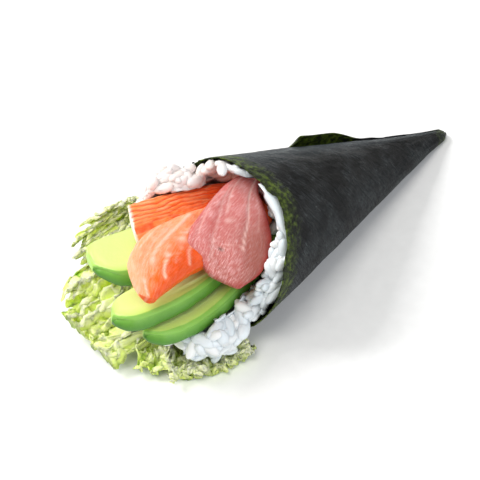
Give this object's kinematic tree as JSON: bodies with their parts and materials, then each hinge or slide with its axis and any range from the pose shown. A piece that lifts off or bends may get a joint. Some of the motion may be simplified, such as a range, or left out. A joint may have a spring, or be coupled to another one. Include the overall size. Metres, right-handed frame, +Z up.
{
  "type": "temaki hand roll",
  "caption": "Cone-shaped sushi hand roll lying on its side, seaweed wrapped round rice, with raw fish, crab stick, avocado and curly lettuce at the open end.",
  "frame": {"origin": "on the table, under the middle of the whole roll's bounding box", "axes": "+X along the roll towards its closed point, +Y across towards the side with the sheet's free edge, +Z up from the table"},
  "size_m": [0.1446, 0.0659, 0.049],
  "materials": {
    "nori": "dry toasted seaweed, near black with a blue-grey sheen",
    "rice": "moist cooked white grains",
    "tuna": "moist raw fish, dusky pink",
    "salmon": "moist raw fish, orange with pale fat lines",
    "crab_stick": "moist ribbed fish paste, orange outside, white at the cut end",
    "avocado": "ripe flesh, pale yellow to green at the peeled side",
    "lettuce": "thin frilled leaf, pale yellow-green"
  },
  "bodies": {
    "root": {"nori": "nori", "rice": "rice", "tuna_slice": "tuna", "salmon_slice": "salmon", "crab_stick": "crab_stick", "avocado_slice_left": "avocado", "avocado_slice_upper": "avocado", "avocado_slice_lower": "avocado", "lettuce_leaf_left": "lettuce", "lettuce_leaf_front": "lettuce"}
  },
  "joints": []
}
